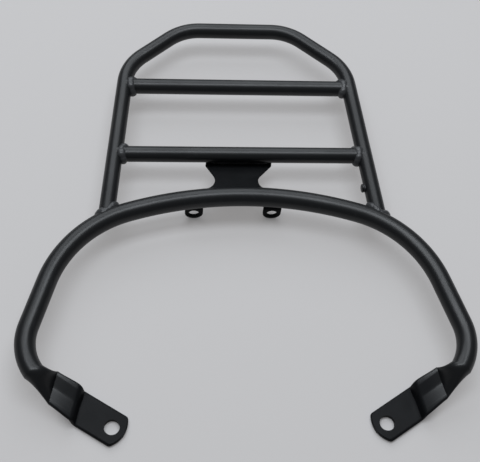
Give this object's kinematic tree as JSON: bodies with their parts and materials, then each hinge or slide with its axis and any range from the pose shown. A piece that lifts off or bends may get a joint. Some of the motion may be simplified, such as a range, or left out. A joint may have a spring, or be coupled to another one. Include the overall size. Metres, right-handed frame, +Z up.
{
  "type": "motorcycle luggage rack",
  "caption": "Welded steel tube motorcycle luggage rack: a wide hoop with flattened bolt tabs carries a flat barred platform, and a folded bracket with two bolt ears sits under its crown.",
  "frame": {"origin": "midway between the two front bolt holes, on the plane that the undersides of their tabs lie in", "axes": "+Y towards the rear of the motorcycle, along the platform; +X to the right as seen from the tab end; +Z up"},
  "size_m": [0.419, 0.4618, 0.0395],
  "materials": {
    "coated_tube": "satin black powder coat",
    "coated_sheet": "satin black powder coat",
    "coated_weld": "satin black powder coat over rippled weld",
    "coated_peg": "satin black powder coat"
  },
  "bodies": {
    "root": {"main_hoop": "coated_tube", "platform_loop": "coated_tube", "front_crossbar": "coated_tube", "rear_crossbar": "coated_tube", "centre_bracket": "coated_sheet", "strap_peg": "coated_peg", "weld_front_crossbar_left": "coated_weld", "weld_front_crossbar_right": "coated_weld", "weld_rear_crossbar_left": "coated_weld", "weld_rear_crossbar_right": "coated_weld", "weld_loop_foot_left": "coated_weld", "weld_loop_foot_right": "coated_weld", "weld_bracket_crossbar": "coated_weld", "weld_bracket_hoop": "coated_weld", "weld_strap_peg": "coated_weld"}
  },
  "joints": []
}
